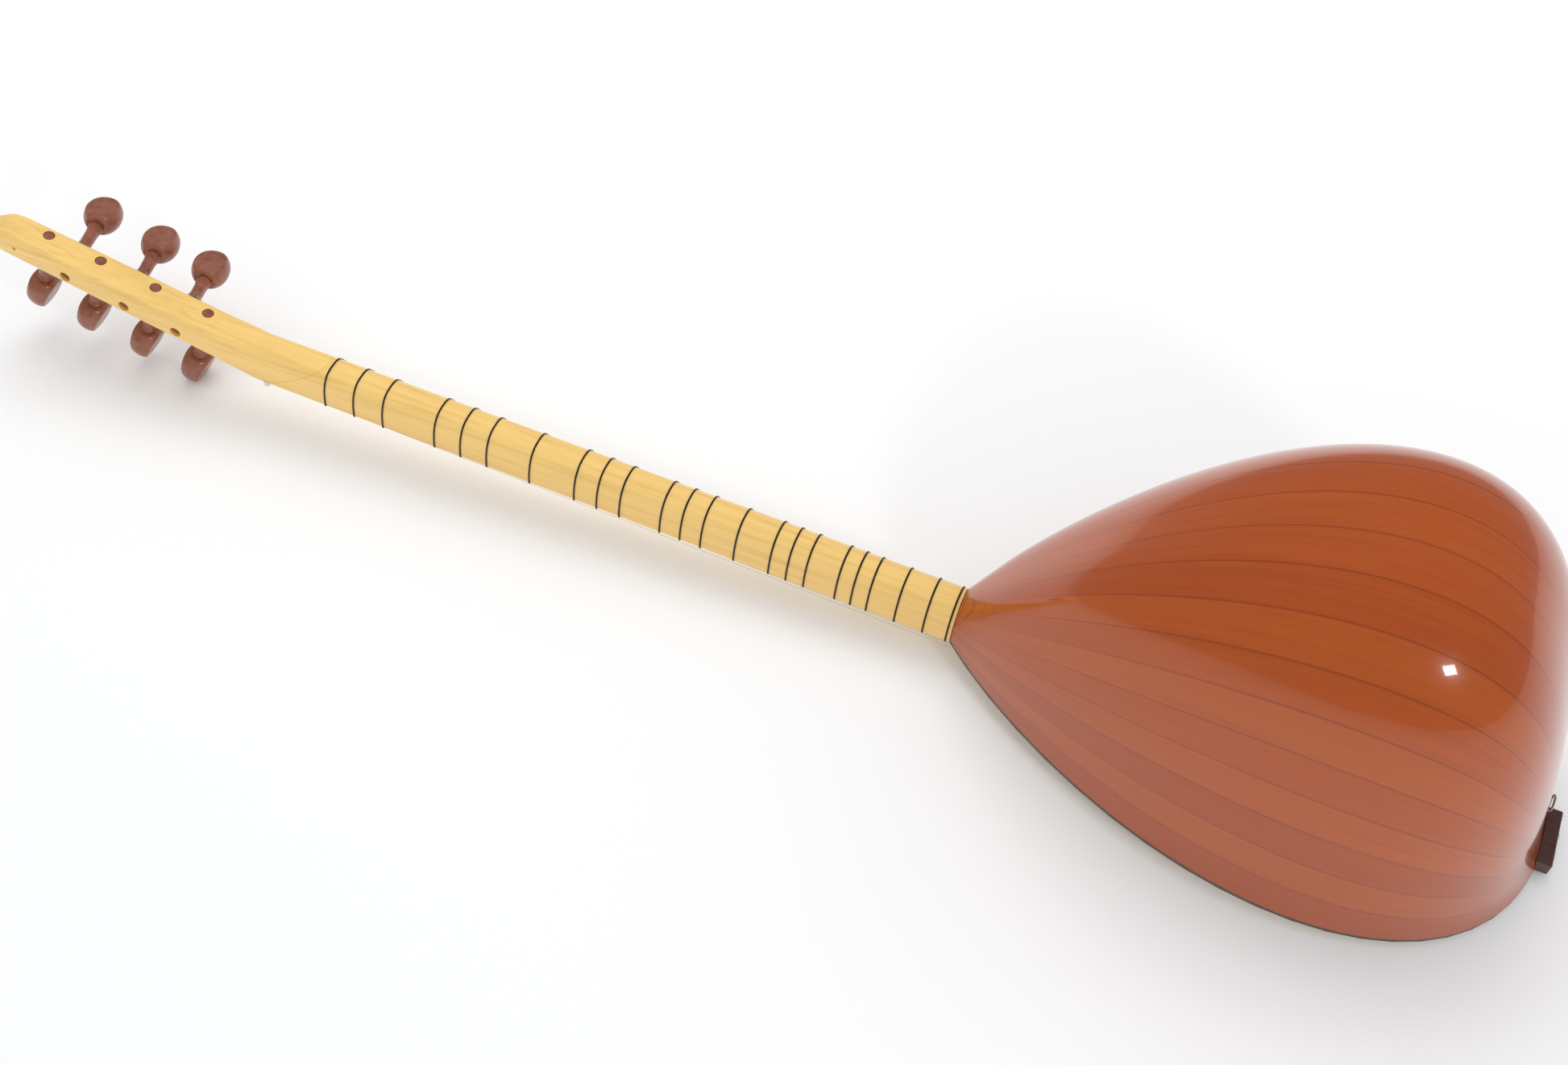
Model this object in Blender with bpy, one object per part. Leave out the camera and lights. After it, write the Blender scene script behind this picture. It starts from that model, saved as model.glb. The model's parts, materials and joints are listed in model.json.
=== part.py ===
"""Long-necked lute with a staved bowl, lying face down on its bridge and a peg.

The instrument frame has X along the neck from the joint with the bowl (head at
-X, tail at +X), Y across and Z from the front plate to the back of the bowl.
Every piece hangs from one empty, which tilts the instrument to its resting pose.
"""
import math

import bmesh
import bpy
import numpy as np
from mathutils import Matrix, Vector

# Clearances
GAP = 0.0003
MERGE = 0.00001

# Scale and frets
SCALE_LENGTH = 0.880
FRET_RATIOS = (
    18 / 17, 12 / 11, 9 / 8, 81 / 68, 27 / 22, 81 / 64, 4 / 3, 24 / 17,
    16 / 11, 3 / 2, 27 / 17, 18 / 11, 27 / 16, 16 / 9, 32 / 17, 64 / 33,
    2, 36 / 17, 24 / 11, 9 / 4, 81 / 34, 81 / 32, 8 / 3,
)
FRET_BAND = 0.0012
FRET_HEIGHT = 0.0007
FRET_KNOT = 0.0016
FRET_KNOT_INDEX = 5

# Neck
NECK_LENGTH = 0.553
NECK_WIDTH_NUT = 0.0321
NECK_WIDTH_BODY = 0.0371
NECK_DEPTH_NUT = 0.0285
NECK_DEPTH_BODY = 0.0325
NECK_CURVE_NUT = 2.8
NECK_CURVE_BODY = 2.3
NECK_EDGE = 0.0005
NECK_STEPS = 16
SCARF_RUN = 0.045
TENON_WIDTH = 0.018
TENON_FRONT = 0.006
TENON_DEPTH = 0.016
TENON_LENGTH = 0.045

# Head
HEAD_LENGTH = 0.2425
HEAD_TILT = math.radians(9.5)
HEAD_SHELF = 0.013
HEAD_DEPTH = 0.0212
HEAD_DEPTH_RUN = 0.055
HEAD_WIDTH_MIDDLE = 0.030
HEAD_WIDTH_TIP = 0.0275
HEAD_CURVE = 4.5
HEAD_EDGE = 0.0025
HEAD_FLAT = 1.06
TIP_ROUND = 0.016
TIP_BACK_ROUND = 0.030
TIP_BACK_DROP = 0.45
TIP_FRONT_ROUND = 0.008
TIP_FRONT_DROP = 0.003
LACE_HOLE_RADIUS = 0.0015
LACE_HOLE_DEPTH = 0.006
LACE_HOLE_FROM_TIP = 0.026

# Pegs
PEG_LENGTH = 0.083
PEG_SHAFT = 0.046
PEG_COLLAR = 0.008
PEG_END_RADIUS = 0.00415
PEG_TAPER = 1 / 50
KNOB_WIDTH = 0.029
KNOB_THICKNESS = 0.018
KNOB_TIP_THICKNESS = 0.009
PEG_SIDES = 16
FRONT_PEG_PLACES = (0.061, 0.1055, 0.152, 0.196)
FRONT_PEG_OFFSET = 0.0046
FRONT_PEG_LEAN = math.radians(6.9)
SIDE_PEG_PLACES = (0.079, 0.1231, 0.1733)
SIDE_PEG_LEAN = math.radians(9.4)
SIDE_PEG_FORWARD = 0.003
SIDE_PEG_RECESS = 0.003

# Bowl
BOWL_LENGTH = 0.426
BOWL_WIDTH = 0.265
BOWL_DEPTH = 0.263
BOWL_WALL = 0.004
BOWL_CURVE = 2.94
BOWL_CURVE_RUN = 0.07
WIDTH_RISE = 0.84
WIDTH_FALL = 0.45
DEPTH_RISE = 0.92
DEPTH_FALL = 0.49
TAIL_LEAN = 0.0235
TAIL_LEAN_HEIGHT = 0.057
BOWL_STEPS = 22
ARCH_STEPS = 24
SOUND_HOLE_RADIUS = 0.009
SOUND_HOLE_SIDE = 0.045
SOUND_HOLE_HEIGHT = 0.025

# Front plate and what stands under it
SOUNDBOARD_THICKNESS = 0.0027
SOUNDBOARD_CROWN = 0.002
SOUNDBOARD_ROW = 8
BINDING_WIDTH = 0.0016
BRACE_WIDTH = 0.006
BRACE_HEIGHT = 0.010
BRACE_PLACES = (("brace_front", 0.130), ("brace_rear", 0.270))
HEEL_LENGTH = 0.070
TAIL_BLOCK_FRONT = 0.392
TAIL_BLOCK_HALF_WIDTH = 0.032
TAIL_BLOCK_TOP = 0.045

# Nut, bridge and tailpiece
NUT_THICKNESS = 0.004
NUT_PROUD = 0.0005
NUT_SLOT = 0.0015
NUT_HEIGHT = 0.0034
BRIDGE_WIDTH = 0.052
BRIDGE_HEIGHT = 0.0072
BRIDGE_FOOT = 0.005
BRIDGE_CREST = 0.002
BRIDGE_ARCH = 0.003
TAILPIECE_HALF_WIDTH = 0.0235
TAILPIECE_FRONT = 0.421
TAILPIECE_BACK = 0.4345
TAILPIECE_LOW = 0.0025
TAILPIECE_HIGH = 0.009
TAILPIECE_BEVEL = 0.001
EYE_RADIUS = 0.0066
EYE_WIRE = 0.0008
EYE_SIDE = 0.020
EYE_STEM = 0.014

# Strings: place at the nut, at the bridge, at the tail, radius
STRING_RADIUS = 0.000125
WOUND_RADIUS = 0.00025
STRING_AT_NUT = 0.0027
STRING_AT_BRIDGE = 0.0092
WINDING_TURNS = 3.5
WINDING_POINTS = 10
WINDING_SPACE = 0.00055
WINDING_STAND_OFF = 0.0035
COURSES = (
    ("front_peg_4", -0.0130, -0.0200, -0.0155, STRING_RADIUS),
    ("front_peg_3", -0.0110, -0.0170, -0.0130, STRING_RADIUS),
    ("front_peg_2", -0.0090, -0.0140, -0.0105, STRING_RADIUS),
    ("front_peg_1", -0.0010, -0.0015, 0.0020, STRING_RADIUS),
    ("side_peg_1", 0.0012, 0.0015, 0.0045, WOUND_RADIUS),
    ("side_peg_3", 0.0100, 0.0155, 0.0180, STRING_RADIUS),
    ("side_peg_2", 0.0120, 0.0185, 0.0205, STRING_RADIUS),
)

CROSSED_STRING = 4
EDGE_CROSSING = ((0.72, 0.0), (0.75, 45.0), (0.78, 90.0))

# Derived places
BOWL_START = GAP
RIM_HEIGHT = SOUNDBOARD_THICKNESS + GAP
BRIDGE_PLACE = SCALE_LENGTH - NECK_LENGTH
NUT_BACK = -NECK_LENGTH - GAP
NUT_PLACE = NUT_BACK - NUT_THICKNESS / 2
EYE_HEIGHT = TAILPIECE_HIGH + EYE_RADIUS + 2 * EYE_WIRE

for old in list(bpy.data.objects):
    bpy.data.objects.remove(old, do_unlink=True)

REST = bpy.data.objects.new("rest", None)
bpy.context.collection.objects.link(REST)
PARTS = []


def material(name, colour, roughness, metallic=0.0):
    """Principled material with one colour."""
    finish = bpy.data.materials.new(name)
    finish.use_nodes = True
    shader = finish.node_tree.nodes["Principled BSDF"]
    shader.inputs["Base Color"].default_value = (*colour, 1.0)
    shader.inputs["Roughness"].default_value = roughness
    shader.inputs["Metallic"].default_value = metallic
    return finish


LACQUER = material("red_lacquer", (0.40, 0.115, 0.045), 0.18)
BLOND = material("blond_wood", (0.93, 0.57, 0.22), 0.42)
SPRUCE = material("spruce", (0.80, 0.62, 0.38), 0.50)
PEG_WOOD = material("peg_wood", (0.17, 0.065, 0.035), 0.35)
DARK_WOOD = material("dark_wood", (0.10, 0.035, 0.020), 0.35)
BINDING = material("dark_binding", (0.05, 0.04, 0.035), 0.40)
NYLON = material("black_nylon", (0.025, 0.020, 0.020), 0.45)
BONE = material("pale_bone", (0.80, 0.74, 0.60), 0.35)
STEEL = material("string_steel", (0.62, 0.60, 0.57), 0.25, 1.0)
BRONZE = material("wound_string", (0.78, 0.70, 0.58), 0.35, 1.0)


def add_part(obj, finish):
    """Hang an object from the resting empty and give it its material."""
    obj.data.materials.append(finish)
    bpy.context.collection.objects.link(obj)
    obj.parent = REST
    PARTS.append(obj)
    return obj


def closed_mesh(name, verts, faces, smooth=True):
    """Mesh with merged doubles and outward normals."""
    mesh = bpy.data.meshes.new(name)
    mesh.from_pydata([tuple(map(float, v)) for v in verts], [], faces)
    bm = bmesh.new()
    bm.from_mesh(mesh)
    bmesh.ops.remove_doubles(bm, verts=bm.verts, dist=MERGE)
    bmesh.ops.recalc_face_normals(bm, faces=bm.faces)
    bm.to_mesh(mesh)
    bm.free()
    for polygon in mesh.polygons:
        polygon.use_smooth = smooth
    return mesh


def loft(rings, cap_start=True, cap_end=True, around=False):
    """Vertices and faces that join a row of closed rings of equal length."""
    count = len(rings[0])
    verts = [point for ring in rings for point in ring]
    faces = []
    spans = len(rings) if around else len(rings) - 1
    for i in range(spans):
        a = i * count
        b = ((i + 1) % len(rings)) * count
        for j in range(count):
            k = (j + 1) % count
            faces.append((a + j, a + k, b + k, b + j))
    if cap_start and not around:
        faces.append(tuple(range(count)))
    if cap_end and not around:
        faces.append(tuple(reversed(range((len(rings) - 1) * count, len(rings) * count))))
    return verts, faces


def solid(name, verts, faces, finish, smooth=True):
    """Named part from vertices and faces in the instrument frame."""
    return add_part(bpy.data.objects.new(name, closed_mesh(name, verts, faces, smooth)), finish)


def cutter(name, verts, faces):
    """Hidden tool that a Boolean modifier uses."""
    obj = bpy.data.objects.new(name, closed_mesh(name, verts, faces, False))
    bpy.context.collection.objects.link(obj)
    obj.parent = REST
    obj.hide_render = True
    obj.display_type = "WIRE"
    return obj


def boolean(obj, tool, operation="DIFFERENCE"):
    """Exact Boolean between a part and a hidden tool."""
    step = obj.modifiers.new(tool.name, "BOOLEAN")
    step.operation = operation
    step.solver = "EXACT"
    step.object = tool


def rod(start, end, start_radius, end_radius, sides=16):
    """Vertices and faces of a cone or cylinder between two points."""
    axis = (end - start).normalized()
    side = axis.orthogonal().normalized()
    other = axis.cross(side)
    rings = []
    for centre, radius in ((start, start_radius), (end, end_radius)):
        ring = []
        for i in range(sides):
            turn = 2 * math.pi * i / sides
            ring.append(centre + radius * (math.cos(turn) * side + math.sin(turn) * other))
        rings.append(ring)
    return loft(rings)


def box(low, high):
    """Vertices and faces of a box between two corners."""
    rings = []
    for x in (low[0], high[0]):
        rings.append([(x, low[1], low[2]), (x, high[1], low[2]),
                      (x, high[1], high[2]), (x, low[1], high[2])])
    return loft(rings)


def smoothstep(value):
    """Smooth rise from 0 to 1."""
    value = min(1.0, max(0.0, value))
    return value * value * (3 - 2 * value)


# Sections of the neck and the head

def arch_section(half_width, front, back, curve, edge, steps=NECK_STEPS, flat=1.0):
    """Points (y, z) of a flat front with small edges and a superellipse back."""
    points = [(half_width - edge, front)]
    for i in range(steps + 1):
        turn = math.pi * i / steps
        cosine = math.cos(turn)
        y = half_width * math.copysign(abs(cosine) ** (2 / curve), cosine)
        rise = min(1.0, flat * abs(math.sin(turn)) ** (2 / curve))
        points.append((y, front + edge + (back - front - edge) * rise))
    points.append((-half_width + edge, front))
    return points


def neck_section(x, grow=0.0):
    """Section of the neck at x, grown outwards by a clearance."""
    along = min(1.0, max(0.0, 1 + x / NECK_LENGTH))
    width = NECK_WIDTH_NUT + (NECK_WIDTH_BODY - NECK_WIDTH_NUT) * along
    depth = NECK_DEPTH_NUT + (NECK_DEPTH_BODY - NECK_DEPTH_NUT) * along
    curve = NECK_CURVE_NUT + (NECK_CURVE_BODY - NECK_CURVE_NUT) * along
    return arch_section(width / 2 + grow, -grow, depth + grow, curve, NECK_EDGE)


def scarf_ring(shift=0.0):
    """Slanted ring of the glued joint between head and neck."""
    ring = []
    for i, (_, z) in enumerate(neck_section(-NECK_LENGTH)):
        x = -NECK_LENGTH + SCARF_RUN * z / NECK_DEPTH_NUT
        y, height = neck_section(x)[i]
        ring.append((x + shift, y, height))
    return ring


def head_front(s):
    """Height of the head's front face at a distance from the nut."""
    height = math.tan(HEAD_TILT) * max(0.0, s - HEAD_SHELF)
    into_tip = max(0.0, s - (HEAD_LENGTH - TIP_FRONT_ROUND)) / TIP_FRONT_ROUND
    return height + TIP_FRONT_DROP * into_tip ** 2


def head_depth(s):
    """Depth of the head at a distance from the nut."""
    depth = NECK_DEPTH_NUT + (HEAD_DEPTH - NECK_DEPTH_NUT) * smoothstep(s / HEAD_DEPTH_RUN)
    into_tip = max(0.0, s - (HEAD_LENGTH - TIP_BACK_ROUND)) / TIP_BACK_ROUND
    return depth * (1 - TIP_BACK_DROP * into_tip ** 2.5)


def head_width(s):
    """Width of the head at a distance from the nut."""
    places = (0.0, HEAD_LENGTH / 2, HEAD_LENGTH - TIP_ROUND)
    width = np.interp(s, places, (NECK_WIDTH_NUT, HEAD_WIDTH_MIDDLE, HEAD_WIDTH_TIP))
    into_tip = max(0.0, s - (HEAD_LENGTH - TIP_ROUND)) / TIP_ROUND
    return float(width) * math.sqrt(max(0.0, 1 - into_tip ** 2))


def head_ring(s):
    """Closed ring of the head at a distance from the nut."""
    blend = smoothstep(s / HEAD_DEPTH_RUN)
    width = head_width(s)
    front = head_front(s)
    back = front + head_depth(s)
    curve = NECK_CURVE_NUT + (HEAD_CURVE - NECK_CURVE_NUT) * blend
    edge = min(NECK_EDGE + (HEAD_EDGE - NECK_EDGE) * blend, 0.3 * width)
    flat = 1 + (HEAD_FLAT - 1) * blend
    section = arch_section(width / 2, front, back, curve, edge, flat=flat)
    return [(-NECK_LENGTH - s, y, z) for y, z in section]


# Shape of the bowl

def teardrop(u, rise, fall):
    """Outline that rises from 0 to 1 and falls back to 0."""
    peak = rise / (rise + fall)
    return (u ** rise) * max(0.0, 1 - u) ** fall / (peak ** rise * (1 - peak) ** fall)


def teardrop_start(value, rise, fall):
    """Place on the rising side where the teardrop has a value."""
    low = 0.0
    high = rise / (rise + fall)
    for _ in range(60):
        middle = (low + high) / 2
        if teardrop(middle, rise, fall) < value:
            low = middle
        else:
            high = middle
    return low


def bowl_size(s, inset):
    """Half width, height above the rim, and curve of the bowl at a share of its length."""
    full_width = BOWL_WIDTH / 2 - inset
    full_depth = BOWL_DEPTH - RIM_HEIGHT - inset
    width_start = teardrop_start((NECK_WIDTH_BODY / 2 - inset) / full_width, WIDTH_RISE, WIDTH_FALL)
    depth_first = (NECK_DEPTH_BODY - RIM_HEIGHT - inset) / full_depth
    depth_start = teardrop_start(depth_first, DEPTH_RISE, DEPTH_FALL)
    half = full_width * teardrop(width_start + (1 - width_start) * s, WIDTH_RISE, WIDTH_FALL)
    height = full_depth * teardrop(depth_start + (1 - depth_start) * s, DEPTH_RISE, DEPTH_FALL)
    curve = NECK_CURVE_BODY + (BOWL_CURVE - NECK_CURVE_BODY) * smoothstep(s / BOWL_CURVE_RUN)
    return half, height, curve


def bowl_x(s, inset, height):
    """Place along the bowl, with the tail leaning forward higher up."""
    lean = TAIL_LEAN * s ** 6 * height / (height + TAIL_LEAN_HEIGHT)
    return BOWL_START + (BOWL_LENGTH - inset) * s - lean


def bowl_arch(s, inset):
    """Arch of the bowl from +Y over the back to -Y."""
    half, top, curve = bowl_size(s, inset)
    arch = []
    for i in range(ARCH_STEPS + 1):
        turn = math.pi * i / ARCH_STEPS
        cosine = math.cos(turn)
        y = half * math.copysign(abs(cosine) ** (2 / curve), cosine)
        height = top * abs(math.sin(turn)) ** (2 / curve)
        arch.append((bowl_x(s, inset, height), y, RIM_HEIGHT + height))
    return arch


def bowl_stations(last=1.0):
    """Shares of the bowl's length, close together at the blunt tail."""
    places = list(np.linspace(0, 1, BOWL_STEPS + 1))
    step = 1 / BOWL_STEPS
    places[-1:] = [1 - step / 2, 1 - step / 4, 1.0]
    return [last * math.sin(math.pi / 2 * v) ** 1.2 for v in places]


def bowl_filled(inset, floor, last=1.0):
    """Rings of a solid that fills the bowl's outline down to a floor."""
    rings = []
    for s in bowl_stations(last):
        arch = bowl_arch(s, inset)
        rings.append([(arch[0][0], arch[0][1], floor)] + arch
                     + [(arch[-1][0], arch[-1][1], floor)])
    return rings


def surface_x(y, z, inset=0.0):
    """Place of the bowl's tail wall at a given side and height."""
    low = 0.8
    high = 1.0
    for _ in range(50):
        s = (low + high) / 2
        half, top, curve = bowl_size(s, inset)
        inside = half > 0 and top > 0
        inside = inside and abs(y / half) ** curve + ((z - RIM_HEIGHT) / top) ** curve < 1
        if inside:
            low = s
        else:
            high = s
    return bowl_x(low, inset, z - RIM_HEIGHT)


def rim_line(offset):
    """Outline (x, y) of the bowl's rim on +Y, moved inwards along its normal."""
    outline = []
    for s in bowl_stations():
        half = bowl_size(s, 0.0)[0]
        outline.append((bowl_x(s, 0.0, 0.0), half))
    line = []
    for i in range(len(outline)):
        before = outline[max(0, i - 1)]
        after = outline[min(len(outline) - 1, i + 1)]
        if i == len(outline) - 1:
            after = (before[0], -before[1])
            before = (before[0], before[1])
        dx = after[0] - before[0]
        dy = after[1] - before[1]
        length = math.hypot(dx, dy)
        line.append((outline[i][0] + offset * dy / length, outline[i][1] - offset * dx / length))
    if offset > 0:
        slope = (line[1][1] - line[0][1]) / (line[1][0] - line[0][0])
        line[0] = (BOWL_START, line[0][1] - slope * (line[0][0] - BOWL_START))
    line[-1] = (line[-1][0], 0.0)
    return line


def crown(x, y):
    """Height of the front plate's crown at a point."""
    s = min(1.0, max(0.0, (x - BOWL_START) / BOWL_LENGTH))
    half = max(0.001, bowl_size(min(s, 0.999), 0.0)[0])
    across = max(0.0, 1 - (y / half) ** 2)
    return SOUNDBOARD_CROWN * across * (1 - (2 * s - 1) ** 4)


# Neck, head and bowl

def make_neck():
    """Neck with its glued joint at the nut end and its tenon at the bowl end."""
    rings = [scarf_ring()]
    for share in (0.8, 0.6, 0.4, 0.2, 0.0):
        x = -NECK_LENGTH * share
        rings.append([(x, y, z) for y, z in neck_section(x)])
    tenon = arch_section(TENON_WIDTH / 2, TENON_FRONT, TENON_FRONT + TENON_DEPTH, 8, NECK_EDGE)
    for x in (0.0, TENON_LENGTH):
        rings.append([(x, y, z) for y, z in tenon])
    solid("neck", *loft(rings), BLOND)


def make_head():
    """Head that bends back from the nut, with its peg holes and nut slot."""
    rings = [scarf_ring(-GAP)]
    stations = [0.004, HEAD_SHELF, 0.024, 0.035, 0.045, HEAD_DEPTH_RUN, 0.080, HEAD_LENGTH / 2, 0.160]
    for from_tip in (0.042, TIP_BACK_ROUND, 0.022, TIP_ROUND, 0.010, 0.006, 0.003, 0.001, 0.0002):
        stations.append(HEAD_LENGTH - from_tip)
    for s in stations:
        rings.append(head_ring(s))
    head = solid("head", *loft(rings), BLOND)
    slot = box((NUT_BACK - NUT_THICKNESS - GAP, -0.03, -0.01), (-NECK_LENGTH + 0.003, 0.03, NUT_SLOT))
    boolean(head, cutter("nut_slot", *slot))
    for name, frame in PEG_FRAMES.items():
        start = frame @ Vector((0, 0, -0.02))
        end = frame @ Vector((0, 0, PEG_SHAFT))
        start_radius = PEG_END_RADIUS - 0.02 * PEG_TAPER + GAP
        end_radius = PEG_END_RADIUS + PEG_SHAFT * PEG_TAPER + GAP
        boolean(head, cutter("hole_" + name, *rod(start, end, start_radius, end_radius)))
    s = HEAD_LENGTH - LACE_HOLE_FROM_TIP
    side = head_width(s) / 2
    height = head_front(s) + head_depth(s) / 2
    mouth = Vector((-NECK_LENGTH - s, -side - 0.002, height))
    bottom = Vector((-NECK_LENGTH - s, -side + LACE_HOLE_DEPTH, height))
    boolean(head, cutter("lace_hole", *rod(mouth, bottom, LACE_HOLE_RADIUS, LACE_HOLE_RADIUS, 12)))


def make_bowl():
    """Thin shell of the bowl, open at the front and at the neck."""
    stations = bowl_stations()
    outer = [bowl_arch(s, 0.0) for s in stations]
    inner = [bowl_arch(s, BOWL_WALL) for s in stations]
    row = ARCH_STEPS + 1
    count = len(stations)
    verts = [p for arch in outer for p in arch] + [p for arch in inner for p in arch]
    lift = count * row
    faces = []
    for i in range(count - 1):
        for j in range(ARCH_STEPS):
            a = i * row + j
            quad = (a, a + 1, a + row + 1, a + row)
            faces.append(quad)
            faces.append(tuple(lift + k for k in reversed(quad)))
        for edge in (0, ARCH_STEPS):
            a = i * row + edge
            faces.append((a, a + row, lift + a + row, lift + a))
    for j in range(ARCH_STEPS):
        faces.append((j, j + 1, lift + j + 1, lift + j))
    shell = solid("bowl_shell", verts, faces, LACQUER)
    outside = surface_x(SOUND_HOLE_SIDE, SOUND_HOLE_HEIGHT)
    start = Vector((outside - 0.05, SOUND_HOLE_SIDE, SOUND_HOLE_HEIGHT))
    end = Vector((outside + 0.03, SOUND_HOLE_SIDE, SOUND_HOLE_HEIGHT))
    hole = rod(start, end, SOUND_HOLE_RADIUS, SOUND_HOLE_RADIUS, 24)
    boolean(shell, cutter("sound_hole", *hole))
    boolean(shell, cutter("eye_hole_in_shell", *eye_stem(GAP, 0.01)))


def make_blocks():
    """Heel block round the tenon and tail block behind the tailpiece."""
    inset = BOWL_WALL + GAP
    share = HEEL_LENGTH / BOWL_LENGTH
    rings = [bowl_arch(s, inset) for s in bowl_stations() if s < share]
    heel = solid("heel_block", *loft(rings), SPRUCE)
    grown = arch_section(TENON_WIDTH / 2 + GAP, TENON_FRONT - GAP,
                         TENON_FRONT + TENON_DEPTH + GAP, 8, NECK_EDGE)
    mortise = [[(x, y, z) for y, z in grown] for x in (-0.01, TENON_LENGTH + GAP)]
    boolean(heel, cutter("mortise", *loft(mortise)))
    inset = BOWL_WALL + 2 * GAP
    low = (TAIL_BLOCK_FRONT, -TAIL_BLOCK_HALF_WIDTH, RIM_HEIGHT)
    high = (BOWL_LENGTH + 0.02, TAIL_BLOCK_HALF_WIDTH, TAIL_BLOCK_TOP)
    block = solid("tail_block", *box(low, high), SPRUCE, False)
    cavity = loft(bowl_filled(inset, RIM_HEIGHT - 0.002), True, False)
    boolean(block, cutter("cavity", *cavity), "INTERSECT")
    boolean(block, cutter("eye_hole_in_block", *eye_stem(GAP, GAP)))


def make_front_plate():
    """Crowned front plate, the binding round it and the two bars behind it."""
    line = rim_line(BINDING_WIDTH + GAP)
    rings = []
    for x, y in line:
        ring = []
        for i in range(SOUNDBOARD_ROW + 1):
            across = y * (1 - 2 * i / SOUNDBOARD_ROW)
            ring.append((x, across, -crown(x, across)))
        for i in range(SOUNDBOARD_ROW, -1, -1):
            across = y * (1 - 2 * i / SOUNDBOARD_ROW)
            ring.append((x, across, SOUNDBOARD_THICKNESS - crown(x, across)))
        rings.append(ring)
    solid("soundboard", *loft(rings, True, False), SPRUCE)
    outer = rim_line(0.0)
    inner = rim_line(BINDING_WIDTH)
    path = [(a, b) for a, b in zip(outer, inner)]
    back = [((a[0], -a[1]), (b[0], -b[1])) for a, b in reversed(path[:-1])]
    rings = []
    for a, b in path + back:
        rings.append([(*a, 0.0), (*a, RIM_HEIGHT - GAP), (*b, RIM_HEIGHT - GAP), (*b, 0.0)])
    solid("edge_binding", *loft(rings), BINDING, False)
    for name, x in BRACE_PLACES:
        half = bowl_size((x - BOWL_START) / BOWL_LENGTH, BOWL_WALL)[0] - 0.004
        rings = []
        for share in np.linspace(-1, 1, 11):
            y = float(share) * half
            seat = SOUNDBOARD_THICKNESS - crown(x, y) + GAP
            height = BRACE_HEIGHT * (1 - 0.6 * smoothstep((abs(share) - 0.6) / 0.4))
            top = seat + height
            rings.append([(x - BRACE_WIDTH / 2, y, seat), (x + BRACE_WIDTH / 2, y, seat),
                          (x + BRACE_WIDTH / 2, y, top), (x - BRACE_WIDTH / 2, y, top)])
        solid(name, *loft(rings), SPRUCE, False)


# Nut, bridge, tailpiece and eye

def notched_line(half, height, places, depth):
    """Points (y, z) of a crest from -half to +half with a notch for each string."""
    points = [(-half, height)]
    for place, radius in sorted(places):
        reach = radius + GAP
        points += [(place - reach, height), (place - reach, depth(radius)),
                   (place + reach, depth(radius)), (place + reach, height)]
    points.append((half, height))
    return points


def make_nut():
    """Nut in its slot, with a notch for each string."""
    half = NECK_WIDTH_NUT / 2 + NUT_PROUD
    places = [(course[1], course[4]) for course in COURSES]
    crest = notched_line(half, -NUT_HEIGHT, places, lambda r: -STRING_AT_NUT + r + GAP)
    outline = crest + [(half, NUT_SLOT - GAP), (-half, NUT_SLOT - GAP)]
    rings = []
    for x in (NUT_BACK - NUT_THICKNESS, NUT_BACK):
        rings.append([(x, y, z) for y, z in outline])
    solid("nut", *loft(rings), BONE, False)


def make_bridge():
    """Thin bridge with three feet and two arches, thinner at the crest."""
    half = BRIDGE_WIDTH / 2
    seat = -crown(BRIDGE_PLACE, 0.0) - GAP
    crest = seat - BRIDGE_HEIGHT
    places = [(course[2], course[4]) for course in COURSES]
    outline = notched_line(0.8 * half, crest, places, lambda r: -STRING_AT_BRIDGE + r + GAP)
    outline.append((half, crest + 0.45 * BRIDGE_HEIGHT))
    feet = ((1.0, 0.72), (0.14, -0.14), (-0.72, -1.0))
    for first, last in feet:
        outline.append((first * half, seat))
        outline.append((last * half, seat))
        if last > -1:
            following = {0.72: 0.14, -0.14: -0.72}[last]
            for i in range(1, 6):
                share = i / 6
                y = half * (last + (following - last) * share)
                outline.append((y, seat - BRIDGE_ARCH * math.sin(math.pi * share) ** 0.7))
    outline.append((-half, crest + 0.45 * BRIDGE_HEIGHT))
    rings = []
    for side in (-1, 1):
        ring = []
        for y, z in outline:
            rise = (seat - z) / BRIDGE_HEIGHT
            thickness = BRIDGE_FOOT + (BRIDGE_CREST - BRIDGE_FOOT) * rise
            ring.append((side * thickness / 2, y, z))
        rings.append(ring)
    bridge = solid("bridge", *loft(rings), DARK_WOOD, False)
    bridge.location = (BRIDGE_PLACE, 0, 0)


def eye_stem(grow, reach):
    """Rod of the eye's stem, from outside the tail into the tail block."""
    z = EYE_HEIGHT - EYE_RADIUS
    outside = surface_x(EYE_SIDE, z)
    start = Vector((outside + EYE_WIRE + 2 * GAP + (reach if grow else 0), EYE_SIDE, z))
    end = Vector((outside - EYE_STEM - grow, EYE_SIDE, z))
    return rod(start, end, 0.0011 + grow, 0.0011 + grow, 12)


def make_tailpiece():
    """Tailpiece that fits the curved tail, and the eye beside it."""
    low = (TAILPIECE_FRONT, -TAILPIECE_HALF_WIDTH, -TAILPIECE_LOW)
    high = (TAILPIECE_BACK, TAILPIECE_HALF_WIDTH, TAILPIECE_HIGH)
    tailpiece = solid("tailpiece", *box(low, high), DARK_WOOD, False)
    bevel = tailpiece.modifiers.new("edges", "BEVEL")
    bevel.width = TAILPIECE_BEVEL
    bevel.segments = 2
    grown = loft(bowl_filled(-GAP, -2 * GAP), True, False)
    boolean(tailpiece, cutter("bowl_outline", *grown))


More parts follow.
